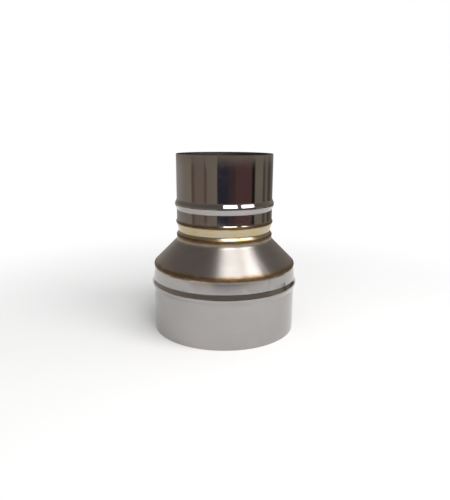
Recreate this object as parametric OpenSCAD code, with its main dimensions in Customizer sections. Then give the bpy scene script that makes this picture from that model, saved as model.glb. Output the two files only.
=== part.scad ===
// Single-wall flue pipe adapter, made of formed sheet rings that are welded edge to edge.
// It stands on its wide end, with the pipe's axis along Z and the origin at the middle of the lower rim.

/* [Pipe ends] */
// Outside diameter of the wide lower spigot
base_d = 149.5; // [130:0.5:220]
// Outside diameter of the narrow upper spigot
neck_d = 99.5; // [80:0.5:115]
// Length of the lower spigot, from its free edge to the foot of its bead
base_plug = 45.5; // [30:0.5:80]
// Length of the upper spigot, from the foot of its bead to its free edge
neck_plug = 45.5; // [30:0.5:80]
// Thickness of the sheet
sheet_t = 0.6; // [0.4:0.1:1.2]

/* [Pressed beads] */
// Width of a bead along the pipe, from foot to foot
bead_w = 10; // [8:0.25:14]
// Height of a bead above the wall that it is pressed from
bead_h = 1.8; // [0.8:0.1:3]
// Width of a bead's crest before its bends
bead_crest_w = 2; // [1:0.25:4]
// Bend radius at a bead's feet
bead_foot_bend = 4; // [1:0.25:8]
// Bend radius inside a bead's crest
bead_crest_bend = 2.9; // [0.5:0.1:6]

/* [Base sleeve] */
// Height of the collar between the lower bead and the shoulder weld
base_collar_h = 13.5; // [8:0.5:40]
// How far the collar's foot stands outside the spigot, on the radius
base_collar_step = 0.45; // [0:0.05:1.5]
// How far the collar's top edge lies inside the spigot's wall, on the radius
base_top_in = 0.65; // [0.2:0.05:2]
// Height of the straight edge at the collar's top
base_edge_h = 2; // [1:0.25:4]
// Bend radius between the collar and its straight edge
base_edge_bend = 6; // [1:0.5:12]

/* [Reducer cone] */
// Slope of the cone above the horizontal, in degrees
cone_slope = 45; // [30:1:65]
// Height of the cone's turned-down skirt below its corner
skirt_h = 0.8; // [0.6:0.1:6]
// Bend radius inside the shoulder
shoulder_bend = 0.9; // [0.3:0.1:3]
// How far the throat collar stands outside the neck, on the radius
throat_collar_step = 0.3; // [0:0.05:2]
// Height of the upright throat collar above the cone
throat_collar_h = 4.8; // [3:0.1:15]
// Bend radius between the cone and the throat collar
throat_foot_bend = 4.5; // [0.5:0.1:6]

/* [Throat ring] */
// Height of the throat ring
ring_h = 11.8; // [8:0.1:24]
// How far the ring's lower edge lies inside the throat collar, on the radius
ring_foot_in = 0.4; // [0:0.05:1]
// Height of the waist above the ring's lower edge
waist_h = 3.2; // [2:0.1:6]
// How far the waist lies inside the throat collar, on the radius
waist_in = 2.2; // [1.2:0.05:4]
// Bend radius at the waist
waist_bend = 2; // [0.5:0.1:4]
// How far the ring's upper edge stands outside the neck, on the radius
ring_top_step = 0.5; // [0:0.05:1.5]

/* [Neck sleeve] */
// How far the neck's lower lip is flared out, on the radius
lip_flare = 0.7; // [0.2:0.05:1.5]
// Height of the lip, from its edge to the straight wall
lip_h = 2; // [1.5:0.1:6]
// Height of the straight edge at the lip's bottom
lip_edge_h = 0.4; // [0.3:0.1:1.2]
// Bend radius at both ends of the flare
lip_bend = 1.5; // [0.5:0.1:6]
// Height of the collar between the lip's edge and the upper bead
neck_collar_h = 12.7; // [9:0.1:40]

/* [Welds] */
// Width of the weld metal between two edges
weld_w = 1.4; // [0.8:0.1:2]
// Height of a weld's crown outside the sheet
weld_crown = 0.3; // [0.1:0.05:0.6]
// Height of a weld's root inside the sheet
weld_root = 0.15; // [0.05:0.05:0.4]

/* [Hidden] */

// Steps round the pipe, along a bend and across a weld's crown
round_steps = 128;
bend_steps = 6;
crown_steps = 6;

// Radii of the straight walls, outside
base_r = base_d / 2;
neck_r = neck_d / 2;
base_collar_r = base_r + base_collar_step;
shoulder_r = base_r - base_top_in;
throat_collar_r = neck_r + throat_collar_step;
ring_foot_r = throat_collar_r - ring_foot_in;
waist_r = throat_collar_r - waist_in;
ring_top_r = neck_r + ring_top_step;
lip_r = neck_r + lip_flare;

// Heights of the edges and corners, from the lower rim up
base_bead_z = base_plug + bead_w / 2;
base_top_z = base_plug + bead_w + base_collar_h;
cone_z = base_top_z + weld_w;
shoulder_z = cone_z + skirt_h;
throat_foot_z = shoulder_z + (shoulder_r - throat_collar_r) * tan(cone_slope);
throat_top_z = throat_foot_z + throat_collar_h;
ring_z = throat_top_z + weld_w;
waist_z = ring_z + waist_h;
ring_top_z = ring_z + ring_h;
lip_z = ring_top_z + weld_w;
neck_bead_z = lip_z + neck_collar_h + bead_w / 2;
top_z = neck_bead_z + bead_w / 2 + neck_plug;

// The outside line of each sheet, as corners from bottom to top.
// Each corner is [radius, height, bend radius inside the corner].
base_line = concat(
    [[base_r, 0, 0]],
    bead(base_r, base_collar_r, base_bead_z),
    [[shoulder_r, base_top_z - base_edge_h, base_edge_bend], [shoulder_r, base_top_z, 0]]
);
cone_line = [
    [shoulder_r, cone_z, 0],
    [shoulder_r, shoulder_z, shoulder_bend],
    [throat_collar_r, throat_foot_z, throat_foot_bend],
    [throat_collar_r, throat_top_z, 0]
];
ring_line = [
    [ring_foot_r, ring_z, 0],
    [waist_r, waist_z, waist_bend],
    [ring_top_r, ring_top_z, 0]
];
neck_line = concat(
    [
        [lip_r, lip_z, 0],
        [lip_r, lip_z + lip_edge_h, lip_bend],
        [neck_r, lip_z + lip_h, lip_bend]
    ],
    bead(neck_r, neck_r, neck_bead_z),
    [[neck_r, top_z, 0]]
);

// The four corners of a pressed bead with its middle at height z.
// The wall's radius is r_below under the bead and r_above over it.
function bead(r_below, r_above, z) =
    let (crest_r = max(r_below, r_above) + bead_h)
    [
        [r_below, z - bead_w / 2, bead_foot_bend],
        [crest_r, z - bead_crest_w / 2, bead_crest_bend],
        [crest_r, z + bead_crest_w / 2, bead_crest_bend],
        [r_above, z + bead_w / 2, bead_foot_bend]
    ];

function unit(v) = v / norm(v);
function place(corner) = [corner[0], corner[1]];

// The outward normal of a sheet that runs along direction d, upwards
function outward(d) = [d[1], -d[0]];

// The bend at corner i of a line, as points [place, outward normal] from bottom to top.
// It takes up at most half of each line beside it, or all of one that ends free.
function bent(line, i) =
    let (
        before = place(line[i]) - place(line[i - 1]),
        after = place(line[i + 1]) - place(line[i]),
        n_in = outward(unit(before)),
        n_out = outward(unit(after)),
        turn = atan2(n_in[0] * n_out[1] - n_in[1] * n_out[0], n_in * n_out),
        side = sign(turn),
        wanted_r = line[i][2] + (turn > 0 ? sheet_t : 0),
        room = min(norm(before) / (i == 1 ? 1 : 2), norm(after) / (i == len(line) - 2 ? 1 : 2)),
        cut = min(wanted_r * tan(abs(turn) / 2), room),
        r = cut / tan(abs(turn) / 2),
        centre = place(line[i]) - cut * unit(before) - side * r * n_in,
        angle_in = atan2(n_in[1], n_in[0])
    )
    [
        for (step = [0 : bend_steps])
            let (a = angle_in + turn * step / bend_steps, n = [cos(a), sin(a)])
            [centre + side * r * n, n]
    ];

// The whole outside line of a sheet with its bends, as points [place, outward normal]
function outside(line) =
    let (
        last = len(line) - 1,
        n_first = outward(unit(place(line[1]) - place(line[0]))),
        n_last = outward(unit(place(line[last]) - place(line[last - 1])))
    )
    concat(
        [[place(line[0]), n_first]],
        [for (i = [1 : last - 1]) each bent(line, i)],
        [[place(line[last]), n_last]]
    );

// The place on the inner face behind a point of the outside line
function inner(p) = p[0] - sheet_t * p[1];

// A curve from a to b that bulges by h, to the right of its way
function crown(a, b, h) =
    let (n = outward(unit(b - a)))
    [for (i = [0 : crown_steps]) let (s = i / crown_steps) a + (b - a) * s + n * h * 4 * s * (1 - s)];

// A ring of bent sheet, with the same wall all along its line
module sheet_ring(line) {
    points = outside(line);
    last = len(points) - 1;
    rotate_extrude($fn = round_steps)
        polygon(concat(
            [for (p = points) p[0]],
            [for (i = [last : -1 : 0]) inner(points[i])]
        ));
}

// A ring of weld metal between the top edge of one sheet and the bottom edge of the next
module weld_ring(lower_line, upper_line) {
    lower_points = outside(lower_line);
    low = lower_points[len(lower_points) - 1];
    high = outside(upper_line)[0];
    rotate_extrude($fn = round_steps)
        polygon(concat(
            crown(low[0], high[0], weld_crown),
            crown(inner(high), inner(low), weld_root)
        ));
}

module base_sleeve() color("lightgray") sheet_ring(base_line);

module shoulder_weld() color("darkkhaki") weld_ring(base_line, cone_line);

module reducer_cone() color("gray") sheet_ring(cone_line);

module throat_weld() color("dimgray") weld_ring(cone_line, ring_line);

module throat_ring() color("tan") sheet_ring(ring_line);

module neck_weld() color("dimgray") weld_ring(ring_line, neck_line);

module neck_sleeve() color("silver") sheet_ring(neck_line);

base_sleeve();
shoulder_weld();
reducer_cone();
throat_weld();
throat_ring();
neck_weld();
neck_sleeve();
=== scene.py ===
"""The looks of a flue pipe adapter: its rolled and spun steel rings, the welds between them, and the studio."""

import math

import bmesh
import bpy
from mathutils import Matrix, Vector


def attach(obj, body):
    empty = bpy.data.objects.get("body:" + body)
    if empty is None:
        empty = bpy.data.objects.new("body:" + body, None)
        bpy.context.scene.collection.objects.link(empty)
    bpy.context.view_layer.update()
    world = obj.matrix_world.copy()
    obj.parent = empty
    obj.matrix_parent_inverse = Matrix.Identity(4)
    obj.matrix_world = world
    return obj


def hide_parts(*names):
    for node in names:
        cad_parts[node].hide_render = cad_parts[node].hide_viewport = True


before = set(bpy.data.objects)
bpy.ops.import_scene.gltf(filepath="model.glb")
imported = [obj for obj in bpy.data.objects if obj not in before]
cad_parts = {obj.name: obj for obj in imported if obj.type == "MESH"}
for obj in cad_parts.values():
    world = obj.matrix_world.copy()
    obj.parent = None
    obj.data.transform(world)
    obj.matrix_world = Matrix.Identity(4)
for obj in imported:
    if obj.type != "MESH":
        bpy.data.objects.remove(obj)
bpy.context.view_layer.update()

MM = 0.001

# ---------------------------------------------------------------- sizes, in millimetres

SHEET_T = 0.6

# The outside line of each sheet, as corners from bottom to top: radius, height, bend radius inside the corner
BASE_LINE = [
    (74.75, 0, 0), (74.75, 45.5, 4), (77, 49.5, 2.9), (77, 51.5, 2.9), (75.2, 55.5, 4),
    (74.1, 67, 6), (74.1, 69, 0),
]
CONE_LINE = [(74.1, 70.4, 0), (74.1, 71.2, 0.9), (50.05, 95.25, 4.5), (50.05, 100.05, 0)]
RING_LINE = [(49.65, 101.45, 0), (47.85, 104.65, 2), (50.25, 113.25, 0)]
NECK_LINE = [
    (50.45, 114.65, 0), (50.45, 115.05, 1.5), (49.75, 116.65, 1.5), (49.75, 127.35, 4),
    (51.55, 131.35, 2.9), (51.55, 133.35, 2.9), (49.75, 137.35, 4), (49.75, 182.85, 0),
]
WELD_CROWN = 0.3
WELD_ROOT = 0.15
WELD_HEIGHTS = (69.7, 100.75, 113.95)

# How the outlines are drawn: steps in a bend, length of a step along a wall, and the broken edge of a cut end
BEND_STEPS = 10
WALL_STEP = 2.5
SUPPORT = 0.3
EDGE_BREAK = 0.12
ROUND_STEPS = 360


def outward(along):
    """The outward normal of a sheet that runs in this direction, upwards."""
    return Vector((along.y, -along.x))


def bend(line, i):
    """The bend at corner i, as places with their outward normals."""
    corner = Vector(line[i][:2])
    before = corner - Vector(line[i - 1][:2])
    after = Vector(line[i + 1][:2]) - corner
    n_in, n_out = outward(before.normalized()), outward(after.normalized())
    turn = math.atan2(n_in.x * n_out.y - n_in.y * n_out.x, n_in.dot(n_out))
    side = math.copysign(1, turn)
    wanted = line[i][2] + (SHEET_T if turn > 0 else 0)
    room = min(
        before.length / (1 if i == 1 else 2),
        after.length / (1 if i == len(line) - 2 else 2),
    )
    cut = min(wanted * math.tan(abs(turn) / 2), room)
    radius = cut / math.tan(abs(turn) / 2)
    centre = corner - cut * before.normalized() - side * radius * n_in
    start = math.atan2(n_in.y, n_in.x)
    found = []
    for step in range(BEND_STEPS + 1):
        a = start + turn * step / BEND_STEPS
        n = Vector((math.cos(a), math.sin(a)))
        found.append((centre + side * radius * n, n))
    return found


def wall(start, end, normal):
    """The places between two bends, with one close to each so that the bend's shading stays in the bend."""
    length = (end - start).length
    if length < 3 * SUPPORT:
        return []
    count = max(1, math.ceil((length - 2 * SUPPORT) / WALL_STEP))
    stations = [SUPPORT + (length - 2 * SUPPORT) * k / count for k in range(count + 1)]
    along = (end - start) / length
    return [(start + along * s, normal) for s in stations]


def outside(line):
    """The whole outside of a sheet, as places with their outward normals."""
    first, second = Vector(line[0][:2]), Vector(line[1][:2])
    last, before = Vector(line[-1][:2]), Vector(line[-2][:2])
    parts = [[(first, outward((second - first).normalized()))]]
    parts += [bend(line, i) for i in range(1, len(line) - 1)]
    parts.append([(last, outward((last - before).normalized()))])
    found = list(parts[0])
    for part in parts[1:]:
        found += wall(found[-1][0], part[0][0], found[-1][1])
        found += part
    return [p for i, p in enumerate(found) if i == 0 or (p[0] - found[i - 1][0]).length > 1e-6]


def sheet_section(line, free_ends):
    """The closed section of a bent sheet. A free end gets broken edges; a welded end stays square."""
    points = outside(line)
    bottom, top = points[0], points[-1]
    outer = [p for p, _ in points]
    inner = [p - SHEET_T * n for p, n in points]
    if "bottom" in free_ends:
        up = (outer[1] - outer[0]).normalized() * EDGE_BREAK
        across = bottom[1] * EDGE_BREAK
        outer[0:1] = [outer[0] - across, outer[0] + up]
        inner[0:1] = [inner[0] + across, inner[0] + up]
    if "top" in free_ends:
        down = (outer[-2] - outer[-1]).normalized() * EDGE_BREAK
        across = top[1] * EDGE_BREAK
        outer[-1:] = [outer[-1] + down, outer[-1] - across]
        inner[-1:] = [inner[-1] + down, inner[-1] + across]
    return outer + inner[::-1]


def weld_section(lower_line, upper_line, steps=8):
    """The closed section of the weld metal between two sheets: a crown outside and a lower root inside."""
    low, high = outside(lower_line)[-1], outside(upper_line)[0]
    sides = [
        (low[0], high[0], WELD_CROWN),
        (high[0] - SHEET_T * high[1], low[0] - SHEET_T * low[1], WELD_ROOT),
    ]
    found = []
    for a, b, height in sides:
        n = outward((b - a).normalized())
        for k in range(steps + 1):
            s = k / steps
            found.append(a + (b - a) * s + n * height * 4 * s * (1 - s))
    return found


# ---------------------------------------------------------------- node trees


class Wire:
    """A node's output socket. Arithmetic on it adds Math nodes."""

    def __init__(self, net, socket):
        self.net, self.socket = net, socket

    def __add__(self, other): return self.net.math("ADD", self, other)
    def __radd__(self, other): return self.net.math("ADD", other, self)
    def __sub__(self, other): return self.net.math("SUBTRACT", self, other)
    def __rsub__(self, other): return self.net.math("SUBTRACT", other, self)
    def __mul__(self, other): return self.net.math("MULTIPLY", self, other)
    def __rmul__(self, other): return self.net.math("MULTIPLY", other, self)
    def __truediv__(self, other): return self.net.math("DIVIDE", self, other)
    def __rtruediv__(self, other): return self.net.math("DIVIDE", other, self)
    def __pow__(self, other): return self.net.math("POWER", self, other)
    def __neg__(self): return self.net.math("MULTIPLY", self, -1)
    def __lt__(self, other): return self.net.math("LESS_THAN", self, other)
    def __gt__(self, other): return self.net.math("GREATER_THAN", self, other)
    def __abs__(self): return self.net.math("ABSOLUTE", self)

    def rise(self, low, high):
        """0 below low, 1 above high and smooth between them; the other way round where low is above high."""
        return self.net.node(
            "ShaderNodeMapRange", {"interpolation_type": "SMOOTHSTEP"},
            {0: self, 1: low, 2: high, 3: 0, 4: 1},
        )


class Net:
    """One node tree, of a material, the world or a Geometry Nodes modifier."""

    def __init__(self, tree):
        self.tree = tree

    def node(self, kind, settings=None, values=None, out=0):
        """Adds a node, sets what it is, feeds its sockets by name or number, and gives one of its outputs."""
        made = self.tree.nodes.new(kind)
        for name, value in (settings or {}).items():
            if name == "stops":
                for spare in range(len(value) - 2):
                    made.color_ramp.elements.new(0.5)
                for element, (place, colour) in zip(made.color_ramp.elements, value):
                    element.position = place
                for element, (place, colour) in zip(made.color_ramp.elements, value):
                    element.color = (*colour, 1)
            else:
                setattr(made, name, value)
        for key, value in (values or {}).items():
            if isinstance(value, Wire):
                self.tree.links.new(value.socket, made.inputs[key])
            elif value is not None:
                made.inputs[key].default_value = value
        return Wire(self, made.outputs[out]) if len(made.outputs) else made

    def math(self, operation, *values):
        return self.node("ShaderNodeMath", {"operation": operation}, dict(enumerate(values)))

    def vector(self, operation, *values, out=0):
        return self.node("ShaderNodeVectorMath", {"operation": operation}, dict(enumerate(values)), out)

    def mix(self, factor, a, b, blend="MIX"):
        """Two colours mixed."""
        a, b = (c if isinstance(c, Wire) else (*c, 1) for c in (a, b))
        return self.node(
            "ShaderNodeMix", {"data_type": "RGBA", "blend_type": blend, "clamp_factor": True},
            {0: factor, 6: a, 7: b}, out=2,
        )

    def parts(self, vector):
        """The x, y and z of a vector."""
        first = self.node("ShaderNodeSeparateXYZ", {}, {0: vector})
        outputs = first.socket.node.outputs
        return [Wire(self, o) for o in outputs]

    def join(self, x, y, z):
        return self.node("ShaderNodeCombineXYZ", {}, {0: x, 1: y, 2: z})

    def noise(self, vector, scale, detail=2, roughness=0.5, distortion=0):
        return self.node(
            "ShaderNodeTexNoise", {},
            {"Vector": vector, "Scale": scale, "Detail": detail, "Roughness": roughness,
             "Distortion": distortion},
        )


# ---------------------------------------------------------------- finishes


def new_finish(name):
    material = bpy.data.materials.new(name)
    material.use_nodes = True
    material.node_tree.nodes.clear()
    return material, Net(material.node_tree)


def metal(net, colour, roughness, height=None, bump=1.0, **fixed):
    """Closes a finish as bare metal. A number given in fixed is set on the shader's own socket."""
    values = {"Base Color": colour, "Roughness": roughness, "Metallic": 1.0, **fixed}
    if height is not None:
        values["Normal"] = net.node(
            "ShaderNodeBump", {}, {"Strength": bump, "Distance": MM, "Height": height}
        )
    shader = net.node("ShaderNodeBsdfPrincipled", {}, values)
    net.node("ShaderNodeOutputMaterial", {}, {"Surface": shader})


def cylinder_places(net):
    """The place on the piece, with its parts in mm: x, y, z, distance from the axis and angle round it."""
    place = net.node("ShaderNodeTexCoord", out=3)
    place = net.vector("SCALE", place)
    place.socket.node.inputs["Scale"].default_value = 1 / MM
    x, y, z = net.parts(place)
    radius = net.math("SQRT", x * x + y * y)
    angle = net.math("ARCTAN2", y, x)
    return place, x, y, z, radius, angle


def heat_tint(net, z, place, heights, reach):
    """How near a round weld is, from 0 to 1, with an uneven edge."""
    wander = net.noise(place, 0.11, 2) - 0.5
    near = None
    for height in heights:
        d = abs(z - height) / (reach * (1 + 0.9 * wander))
        band = d.rise(1, 0.15)
        near = band if near is None else net.math("MAXIMUM", near, band)
    return near


HEAT_STOPS = [
    (0.0, (1.0, 1.0, 1.0)), (0.35, (1.0, 0.93, 0.76)), (0.7, (0.86, 0.62, 0.34)),
    (0.88, (0.52, 0.36, 0.26)), (1.0, (0.34, 0.26, 0.24)),
]


def rolled_sheet(name, colour, polish, tint_reach, seam_angle):
    """Bright rolled stainless sheet with faint rolling lines, smudges, fine scratches and heat tint at its welds."""
    material, net = new_finish(name)
    place, x, y, z, radius, angle = cylinder_places(net)
    film = net.noise(place, 0.03, 3, 0.55)
    smudge = net.noise(place, 0.075, 4, 0.62, 0.4).rise(0.5, 0.72)
    lines = net.noise(net.join(x * 0.05, y * 0.05, z * 6), 1, 3, 0.7)
    streaks = net.noise(net.join(x * 0.9, y * 0.9, z * 0.035), 1, 2)
    scratch = net.noise(net.join(x * 0.12 + z * 0.05, y * 0.12, z * 1.6 + x * 0.9), 1, 1).rise(0.72, 0.76)
    seam_d = abs(angle - seam_angle) * radius
    seam = seam_d.rise(0.75, 0.45)
    seam_heat = seam_d.rise(5, 0.6)

    tone = net.mix(film.rise(0.3, 0.7), colour, [c * k for c, k in zip(colour, (0.93, 0.95, 0.93))])
    tone = net.mix(smudge * 0.5, tone, [c * k for c, k in zip(colour, (1.06, 1.03, 1.06))])
    near = net.math("MAXIMUM", heat_tint(net, z, place, WELD_HEIGHTS, tint_reach), seam_heat * 0.8)
    tone = net.mix(1.0, tone, net.node("ShaderNodeValToRGB", {"stops": HEAT_STOPS}, {0: near}), "MULTIPLY")
    roughness = polish + 0.07 * smudge + 0.03 * lines + 0.05 * scratch + 0.18 * near * near + 0.15 * seam
    height = 0.0015 * lines + 0.004 * streaks - 0.003 * scratch + 0.02 * seam
    metal(net, tone, roughness, height)
    return material


def ground_cone(name, colour):
    """Satin steel, ground round and round, with a duller brown band where it meets the throat: heat tint from the
    weld, made wider and darker there as painted shade as well.
    """
    material, net = new_finish(name)
    place, x, y, z, radius, angle = cylinder_places(net)
    grooves = net.noise(net.join(x * 0.02, y * 0.02, (z - radius) * 4.5), 1, 4, 0.75)
    patches = net.noise(place, 0.06, 3)
    # The brown band at the throat is both heat tint and painted shade: its dark colour keeps highlights off the top
    # of the cone.
    near = heat_tint(net, z, place, WELD_HEIGHTS, 5.5)
    tone = net.mix(patches.rise(0.3, 0.7), colour, [c * 0.9 for c in colour])
    tone = net.mix(grooves.rise(0.35, 0.75) * 0.35, tone, [c * 0.75 for c in colour])
    tone = net.mix(1.0, tone, net.node("ShaderNodeValToRGB", {"stops": HEAT_STOPS}, {0: near}), "MULTIPLY")
    roughness = 0.27 + 0.08 * grooves + 0.08 * patches + 0.1 * near
    height = 0.012 * grooves
    metal(net, tone, roughness, height, **{"Anisotropic": 0.75, "Anisotropic Rotation": 0.25})
    return material


def tinted_ring(name, colour):
    """The short ring between two welds, coloured straw by their heat."""
    material, net = new_finish(name)
    place, x, y, z, radius, angle = cylinder_places(net)
    clouds = net.noise(place, 0.09, 3)
    lines = net.noise(net.join(x * 0.04, y * 0.04, z * 3.2), 1, 3, 0.7)
    near = heat_tint(net, z, place, WELD_HEIGHTS, 2.6)
    straw = [colour[0], colour[1] * 0.93, colour[2] * 0.72]
    tone = net.mix(clouds.rise(0.3, 0.7), colour, straw)
    tone = net.mix(1.0, tone, net.node("ShaderNodeValToRGB", {"stops": HEAT_STOPS}, {0: near}), "MULTIPLY")
    roughness = 0.2 + 0.12 * lines + 0.15 * near
    metal(net, tone, roughness, 0.006 * lines)
    return material


def weld_metal(name):
    """Rippled weld metal, browned by its own heat."""
    material, net = new_finish(name)
    place, x, y, z, radius, angle = cylinder_places(net)
    clouds = net.noise(place, 0.12, 3)
    specks = net.noise(place, 1.4, 3, 0.6)
    tone = net.node(
        "ShaderNodeValToRGB",
        {"stops": [(0.2, (0.055, 0.042, 0.034)), (0.5, (0.13, 0.092, 0.05)), (0.8, (0.2, 0.15, 0.085))]},
        {0: clouds},
    )
    roughness = 0.38 + 0.2 * specks
    metal(net, tone, roughness, 0.02 * specks)
    return material


def inner_face_with_painted_shade(name, colour):
    """The inner face: plain mill finish, rough and not polished, with a base colour darkened as painted shade inside
    the pipe.
    """
    material, net = new_finish(name)
    place, x, y, z, radius, angle = cylinder_places(net)
    film = net.noise(place, 0.05, 4, 0.6)
    lines = net.noise(net.join(x * 0.05, y * 0.05, z * 5), 1, 3, 0.7)
    near = heat_tint(net, z, place, WELD_HEIGHTS, 7)
    tone = net.mix(film.rise(0.3, 0.7), colour, [c * 0.72 for c in colour])
    tone = net.mix(1.0, tone, net.node("ShaderNodeValToRGB", {"stops": HEAT_STOPS}, {0: near}), "MULTIPLY")
    roughness = 0.32 + 0.14 * film + 0.05 * lines
    metal(net, tone, roughness, 0.004 * lines)
    return material


# ---------------------------------------------------------------- turned rings


def ring_tree():
    """Sweeps a closed section round the pipe's axis, gives the sheet its slight waves, and a weld its ripples."""
    tree = bpy.data.node_groups.new("ring round the axis", "GeometryNodeTree")
    face = tree.interface
    face.new_socket("Section", in_out="INPUT", socket_type="NodeSocketGeometry")
    for label, kind in (
        ("Steps round", "NodeSocketInt"), ("Path radius", "NodeSocketFloat"),
        ("Wave depth", "NodeSocketFloat"), ("Wave length", "NodeSocketFloat"),
        ("Ripple depth", "NodeSocketFloat"), ("Ripples round", "NodeSocketFloat"),
        ("Weld height", "NodeSocketFloat"), ("Weld width", "NodeSocketFloat"),
        ("Outer finish", "NodeSocketMaterial"), ("Inner finish", "NodeSocketMaterial"),
    ):
        face.new_socket(label, in_out="INPUT", socket_type=kind)
    face.new_socket("Ring", in_out="OUTPUT", socket_type="NodeSocketGeometry")
    net = Net(tree)
    source = net.node("NodeGroupInput").socket.node
    given = {o.name: Wire(net, o) for o in source.outputs if o.name}

    section = net.node("GeometryNodeMeshToCurve", {}, {0: given["Section"]})
    path = net.node(
        "GeometryNodeCurvePrimitiveCircle", {},
        {"Resolution": given["Steps round"], "Radius": given["Path radius"]},
    )
    ring = net.node("GeometryNodeCurveToMesh", {}, {"Curve": path, "Profile Curve": section})
    ring = net.node("GeometryNodeFlipFaces", {}, {0: ring})

    place = net.node("GeometryNodeInputPosition")
    x, y, z = net.parts(place)
    radius = net.math("SQRT", x * x + y * y)
    out_way = net.join(x / radius, y / radius, 0)
    stretched = net.join(x / given["Wave length"], y / given["Wave length"], z / given["Wave length"] * 0.5)
    waves = net.noise(stretched, 1, 1.5, 0.45)
    dents = net.noise(stretched, 2.7, 0).rise(0.7, 0.8)
    inwards = (waves + 0.5 * dents) * given["Wave depth"]
    angle = net.math("ARCTAN2", y, x)
    up = (z - given["Weld height"]) / given["Weld width"] * 2
    wander = net.noise(place, 160, 1)
    phase = (angle / (2 * math.pi) * given["Ripples round"] + up * up * 0.45) * 2 * math.pi + wander * 3
    ripple = (1 - net.math("SINE", phase)) * 0.5 * given["Ripple depth"]
    shift = net.vector("SCALE", out_way)
    net.tree.links.new((-inwards - ripple).socket, shift.socket.node.inputs["Scale"])
    ring = net.node("GeometryNodeSetPosition", {}, {"Geometry": ring, "Offset": shift})

    bent_edge = net.node("GeometryNodeInputMeshEdgeAngle") > math.radians(38)
    ring = net.node("GeometryNodeSetShadeSmooth", {"domain": "FACE"}, {"Geometry": ring, "Shade Smooth": True})
    ring = net.node(
        "GeometryNodeSetShadeSmooth", {"domain": "EDGE"},
        {"Geometry": ring, "Selection": bent_edge, "Shade Smooth": False},
    )
    ring = net.node("GeometryNodeRealizeInstances", {}, {0: ring})
    facing = net.vector("DOT_PRODUCT", net.node("GeometryNodeInputNormal"), out_way, out=1)
    ring = net.node("GeometryNodeSetMaterial", {}, {"Geometry": ring, "Material": given["Outer finish"]})
    ring = net.node(
        "GeometryNodeSetMaterial", {},
        {"Geometry": ring, "Selection": facing < -0.2, "Material": given["Inner finish"]},
    )
    net.node("NodeGroupOutput", {}, {0: ring})
    return tree


def make_ring(name, node, slot, section, outer, inner, **sizes):
    """A ring from its section, which is in mm, standing for a node of the frame. Sizes are in mm too."""
    path_radius = min(p.x for p in section) - 5
    verts = [((p.x - path_radius) * MM, -p.y * MM, 0) for p in section]
    mesh = bpy.data.meshes.new(name)
    mesh.from_pydata(verts, [(i, (i + 1) % len(verts)) for i in range(len(verts))], [])
    piece = bpy.data.objects.new(name, mesh)
    bpy.context.scene.collection.objects.link(piece)

    modifier = piece.modifiers.new("ring", "NODES")
    modifier.node_group = RING_TREE
    values = {
        "Steps round": sizes.get("steps", ROUND_STEPS), "Path radius": path_radius * MM,
        "Wave depth": sizes.get("wave_depth", 0.0) * MM, "Wave length": sizes.get("wave_length", 30.0) * MM,
        "Ripple depth": sizes.get("ripple_depth", 0.0) * MM, "Ripples round": float(sizes.get("ripples", 1)),
        "Weld height": sizes.get("weld_z", 0.0) * MM, "Weld width": sizes.get("weld_w", 1.0) * MM,
        "Outer finish": outer, "Inner finish": inner,
    }
    for item in RING_TREE.interface.items_tree:
        if item.in_out == "INPUT" and item.name in values:
            modifier[item.identifier] = values[item.name]
    graph = bpy.context.evaluated_depsgraph_get()
    made = bpy.data.meshes.new_from_object(piece.evaluated_get(graph))
    piece.modifiers.clear()
    piece.data = made
    made.name = name

    shell = bmesh.new()
    shell.from_mesh(made)
    bmesh.ops.remove_doubles(shell, verts=shell.verts, dist=1e-7)
    assert shell.calc_volume(signed=True) > 0, name + " is inside out"
    shell.to_mesh(made)
    shell.free()

    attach(piece, "root")
    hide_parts(node)
    return piece


RING_TREE = ring_tree()
BRIGHT = (0.395, 0.375, 0.368)
bright_base = rolled_sheet("bright rolled sheet, lower sleeve", BRIGHT, 0.1, 4.0, 2.05)
bright_neck = rolled_sheet("bright rolled sheet, upper sleeve", BRIGHT, 0.055, 3.2, 1.35)
cone_finish = ground_cone("satin ground cone", (0.46, 0.435, 0.415))
ring_finish = tinted_ring("straw tinted ring", (0.5, 0.44, 0.34))
weld_finish = weld_metal("browned weld metal")
# The inner face's dark base colour is painted shade for the inside of the pipe, not the sheet's own tone.
shaded_inner_finish = inner_face_with_painted_shade("inner face with painted shade", (0.2, 0.19, 0.185))

make_ring(
    "lower_sleeve", "base_sleeve", "bright_sheet", sheet_section(BASE_LINE, ("bottom",)),
    bright_base, shaded_inner_finish, wave_depth=0.16, wave_length=38,
)
make_ring(
    "cone", "reducer_cone", "satin_cone", sheet_section(CONE_LINE, ()),
    cone_finish, shaded_inner_finish, wave_depth=0.16, wave_length=38,
)
make_ring(
    "waisted_ring", "throat_ring", "tinted_ring", sheet_section(RING_LINE, ()),
    ring_finish, shaded_inner_finish, wave_depth=0.16, wave_length=38,
)
make_ring(
    "upper_sleeve", "neck_sleeve", "bright_sheet", sheet_section(NECK_LINE, ("top",)),
    bright_neck, shaded_inner_finish, wave_depth=0.16, wave_length=38,
)
for name, node, lower, upper, height, ripples in (
    ("shoulder_seam", "shoulder_weld", BASE_LINE, CONE_LINE, WELD_HEIGHTS[0], 560),
    ("throat_seam", "throat_weld", CONE_LINE, RING_LINE, WELD_HEIGHTS[1], 380),
    ("neck_seam", "neck_weld", RING_LINE, NECK_LINE, WELD_HEIGHTS[2], 380),
):
    make_ring(
        name, node, "weld", weld_section(lower, upper), weld_finish, weld_finish, steps=ripples * 7,
        wave_depth=0.16, wave_length=38, ripple_depth=0.09, ripples=ripples, weld_z=height, weld_w=1.4,
    )

# ---------------------------------------------------------------- studio


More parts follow.
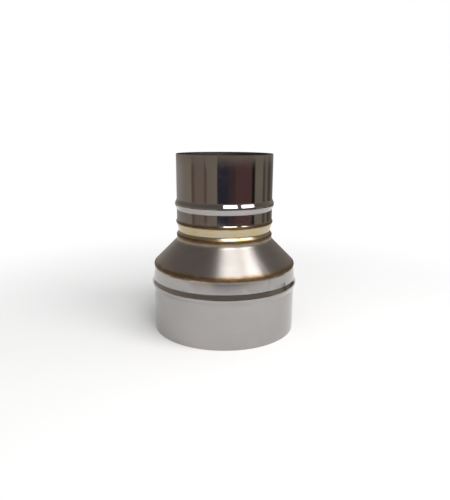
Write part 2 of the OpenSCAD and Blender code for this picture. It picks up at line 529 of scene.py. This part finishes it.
def floor_finish():
    """A pale floor that shows the shadow near the object and runs out into plain white."""
    material, net = new_finish("pale floor")
    x, y, z = net.parts(net.node("ShaderNodeTexCoord", out=3))
    from_axis = net.math("SQRT", x * x + y * y)
    rays = net.node("ShaderNodeLightPath").socket.node.outputs
    seen = net.math(
        "MINIMUM", Wire(net, rays["Is Camera Ray"]) + Wire(net, rays["Is Glossy Ray"])
        + Wire(net, rays["Is Transmission Ray"]), 1,
    )
    white = net.node("ShaderNodeEmission", {}, {"Color": (1, 1, 1, 1), "Strength": 1})
    fibre = net.noise(net.join(x, y, z), 300, 3)
    paint = net.node(
        "ShaderNodeBsdfDiffuse", {},
        {"Color": net.mix(fibre, (0.9, 0.9, 0.9), (0.93, 0.93, 0.93))},
    )
    both = net.node("ShaderNodeMixShader", {}, {0: seen * from_axis.rise(0.08, 0.5), 1: paint, 2: white})
    net.node("ShaderNodeOutputMaterial", {}, {"Surface": both})
    return material


def glow(name, colour_at):
    """A card's finish: it gives off the colour that colour_at makes from the place on it."""
    material, net = new_finish(name)
    place = net.node("ShaderNodeTexCoord", out=3)
    light = net.node("ShaderNodeEmission", {}, {"Color": colour_at(net, place), "Strength": 1})
    net.node("ShaderNodeOutputMaterial", {}, {"Surface": light})
    return material


def staged(name, verts, faces, material, card=True):
    """A floor, or a card that the metal alone sees."""
    mesh = bpy.data.meshes.new(name)
    mesh.from_pydata(verts, [], faces)
    mesh.materials.append(material)
    made = bpy.data.objects.new(name, mesh)
    bpy.context.scene.collection.objects.link(made)
    if card:
        made.visible_camera = made.visible_diffuse = made.visible_shadow = False
        made.visible_transmission = made.visible_volume_scatter = False
    return made


def band(radius, low, high, start, end, steps=96):
    """An upright band round the axis, in metres and degrees. Angle 0 is at the front and grows to the right."""
    verts, faces = [], []
    for k in range(steps + 1):
        a = math.radians(start + (end - start) * k / steps)
        for z in (low, high):
            verts.append((radius * math.sin(a), -radius * math.cos(a), z))
    for k in range(steps):
        faces.append((2 * k, 2 * k + 2, 2 * k + 3, 2 * k + 1))
    return verts, faces


def dome(radius, low, steps=64, rows=16):
    """The upper part of a sphere, from a height near the floor to its top."""
    verts, faces = [], []
    start = math.asin(low / radius)
    for r in range(rows + 1):
        e = start + (math.pi / 2 - start) * min(r / rows, 0.999)
        for k in range(steps):
            a = 2 * math.pi * k / steps
            verts.append((radius * math.cos(e) * math.sin(a), -radius * math.cos(e) * math.cos(a), radius * math.sin(e)))
    for r in range(rows):
        for k in range(steps):
            n = (k + 1) % steps
            faces.append((r * steps + k, r * steps + n, (r + 1) * steps + n, (r + 1) * steps + k))
    return verts, faces


def wall_colour(net, place):
    """The low wall that the upper sleeve mirrors: warm grey, with dark blue, dark red and black in front."""
    x, y, z = net.parts(place)
    angle = net.math("ARCTAN2", x, -y) / (2 * math.pi) + 0.5
    wobble = net.noise(net.join(x * 3, y * 3, z * 9), 1, 2) - 0.5
    angle = angle + 0.006 * wobble
    navy, red, black = (0.05, 0.046, 0.07), (0.15, 0.078, 0.075), (0.02, 0.018, 0.016)
    grey, brown, edge = (0.3, 0.26, 0.21), (0.36, 0.31, 0.25), (0.4, 0.37, 0.36)
    at = lambda degrees: degrees / 360 + 0.5
    stops = [
        (0.0, edge), (at(-120), edge), (at(-104), brown), (at(-81), brown), (at(-78), (0.19, 0.14, 0.11)),
        (at(-72), (0.19, 0.14, 0.11)), (at(-70), (0.28, 0.22, 0.19)), (at(-47), (0.28, 0.22, 0.19)),
        (at(-45), (0.19, 0.14, 0.11)), (at(-40), (0.2, 0.15, 0.12)), (at(-38), (0.3, 0.25, 0.21)),
        (at(-17), (0.33, 0.28, 0.23)), (at(-15.5), navy), (at(7), navy), (at(9), (0.08, 0.056, 0.064)),
        (at(22), (0.1, 0.06, 0.064)), (at(26), red), (at(63), red), (at(65), black), (at(71), black),
        (at(74), grey), (at(96), grey), (at(99), (0.12, 0.1, 0.08)), (at(106), (0.16, 0.13, 0.1)),
        (at(110), grey), (at(117), (0.2, 0.17, 0.13)), (at(121), (0.09, 0.07, 0.06)), (1.0, edge),
    ]
    colour = net.node("ShaderNodeValToRGB", {"stops": stops}, {0: angle})
    plain = net.mix(z.rise(0.13, 0.17), colour, (0.3, 0.27, 0.22))
    return plain


def room_colour(net, place):
    """Warm grey all round, darker overhead."""
    x, y, z = net.parts(place)
    clouds = net.noise(place, 1.3, 2)
    wall = net.mix(clouds, (0.3, 0.26, 0.22), (0.22, 0.19, 0.17))
    return net.mix(z.rise(0.2, 1.1), wall, (0.17, 0.15, 0.14))


def step_colour(net, place):
    x, y, z = net.parts(place)
    return net.mix(net.noise(place, 9, 2), (0.05, 0.04, 0.03), (0.1, 0.08, 0.06))


def red_colour(net, place):
    return net.mix(net.noise(place, 20, 2), (0.32, 0.07, 0.09), (0.24, 0.06, 0.07))


floor_steps = 128
staged(
    "floor",
    [(9 * math.cos(2 * math.pi * k / floor_steps), 9 * math.sin(2 * math.pi * k / floor_steps), 0)
     for k in range(floor_steps)],
    [tuple(range(floor_steps))], floor_finish(), card=False,
)
staged("room_dome", *dome(1.4, 0.2), glow("warm grey room", room_colour))
staged("low_wall", *band(0.58, -0.002, 0.24, -180, 180), glow("low wall", wall_colour))
staged("dark_step", *band(0.265, 0.0, 0.012, -24, 100), glow("dark step", step_colour))
staged("red_block", *band(0.245, 0.0, 0.016, -82, -47), glow("red block", red_colour))


def window(name, azimuth, elevation, distance, width, height, radiance, tilt=0.0):
    """A soft rectangular lamp that faces the object. Azimuth 0 is at the front and grows to the right."""
    a, e = math.radians(azimuth), math.radians(elevation)
    data = bpy.data.lights.new(name, "AREA")
    data.shape = "RECTANGLE"
    data.size, data.size_y = width, height
    data.energy = radiance * math.pi * width * height
    data.color = (1, 0.99, 0.98)
    lamp = bpy.data.objects.new(name, data)
    bpy.context.scene.collection.objects.link(lamp)
    way = Vector((math.cos(e) * math.sin(a), -math.cos(e) * math.cos(a), math.sin(e)))
    lamp.matrix_world = (
        Matrix.Translation(way * distance + Vector((0, 0, 0.09)))
        @ way.to_track_quat("Z", "Y").to_matrix().to_4x4() @ Matrix.Rotation(tilt, 4, "Z")
    )
    lamp.visible_camera = False
    return lamp


window("window_near", 15, 50, 0.95, 0.46, 0.6, 5.0)
window("window_far", 60, 46, 0.95, 0.46, 0.52, 5.0)

world = bpy.data.worlds.new("plain white surround")
bpy.context.scene.world = world
world.use_nodes = True
world.node_tree.nodes.clear()
sky = Net(world.node_tree)
rays = sky.node("ShaderNodeLightPath").socket.node.outputs
seen = sky.math(
    "MINIMUM", Wire(sky, rays["Is Camera Ray"]) + Wire(sky, rays["Is Glossy Ray"])
    + Wire(sky, rays["Is Transmission Ray"]), 1,
)
AMBIENT = 0.5
sky.node(
    "ShaderNodeOutputWorld", {},
    {"Surface": sky.node("ShaderNodeBackground", {}, {"Color": (1, 1, 1, 1), "Strength": AMBIENT + (1 - AMBIENT) * seen})},
)

# The camera of the photograph: 450 by 500 pixels, with the focal length in pixels of the taller side
PICTURE_H, FOCAL_PX = 500, 471.55
camera_data = bpy.data.cameras.new("camera")
camera_data.sensor_width = 36
camera_data.lens = FOCAL_PX * 36 / PICTURE_H
camera_data.clip_start, camera_data.clip_end = 0.01, 100
camera = bpy.data.objects.new("camera", camera_data)
bpy.context.scene.collection.objects.link(camera)
camera.matrix_world = (
    Matrix.Translation((0.83 * MM, -491.06 * MM, 201.23 * MM))
    @ Matrix.Rotation(math.pi / 2 - 0.2394, 4, "X") @ Matrix.Rotation(0.0051, 4, "Z")
)
bpy.context.scene.camera = camera
bpy.context.scene.view_settings.view_transform = "Standard"
